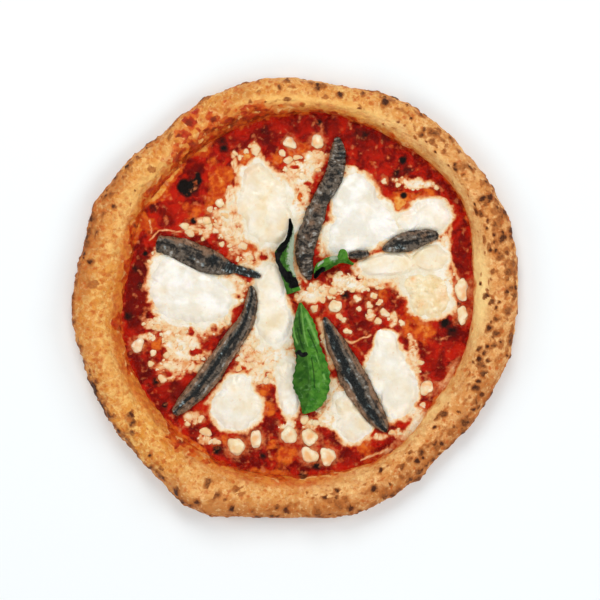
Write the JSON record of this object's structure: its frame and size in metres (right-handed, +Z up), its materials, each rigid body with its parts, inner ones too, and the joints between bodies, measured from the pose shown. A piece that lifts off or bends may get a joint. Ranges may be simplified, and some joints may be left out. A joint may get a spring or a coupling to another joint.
{
  "type": "anchovy pizza",
  "caption": "Whole round pizza with a puffed, browned rim, tomato sauce, melted mozzarella, anchovy fillets and basil leaves, lying flat.",
  "frame": {"origin": "on the table, under the middle of the pizza's bounding box", "axes": "+Z up, out of the topped side; +Y towards the edge that is at the top of the picture; +X to its right"},
  "size_m": [0.299, 0.2952, 0.025],
  "materials": {
    "crust": "matt baked dough, tan with brown spots",
    "sauce": "wet and glossy",
    "cheese": "smooth with a soft shine",
    "anchovy": "dark, oily and slightly silvery",
    "basil": "satin leaf"
  },
  "bodies": {
    "root": {"crust": "crust", "tomato_sauce": "sauce", "mozzarella_1": "cheese", "mozzarella_2": "cheese", "mozzarella_3": "cheese", "mozzarella_4": "cheese", "mozzarella_5": "cheese", "mozzarella_6": "cheese", "mozzarella_7": "cheese", "mozzarella_8": "cheese", "mozzarella_9": "cheese", "mozzarella_10": "cheese", "mozzarella_11": "cheese", "anchovy_top": "anchovy", "anchovy_left": "anchovy", "anchovy_lower_left": "anchovy", "anchovy_lower_right": "anchovy", "anchovy_right": "anchovy", "anchovy_right_tail": "anchovy", "basil_large": "basil", "basil_dark": "basil", "basil_curled": "basil", "cheese_lump_1": "cheese", "cheese_lump_2": "cheese", "cheese_lump_3": "cheese", "cheese_lump_4": "cheese", "cheese_lump_5": "cheese", "cheese_lump_6": "cheese", "cheese_lump_7": "cheese", "cheese_lump_8": "cheese", "cheese_lump_9": "cheese", "cheese_lump_10": "cheese", "cheese_lump_11": "cheese", "cheese_lump_12": "cheese", "cheese_lump_13": "cheese", "cheese_lump_14": "cheese"}
  },
  "joints": []
}
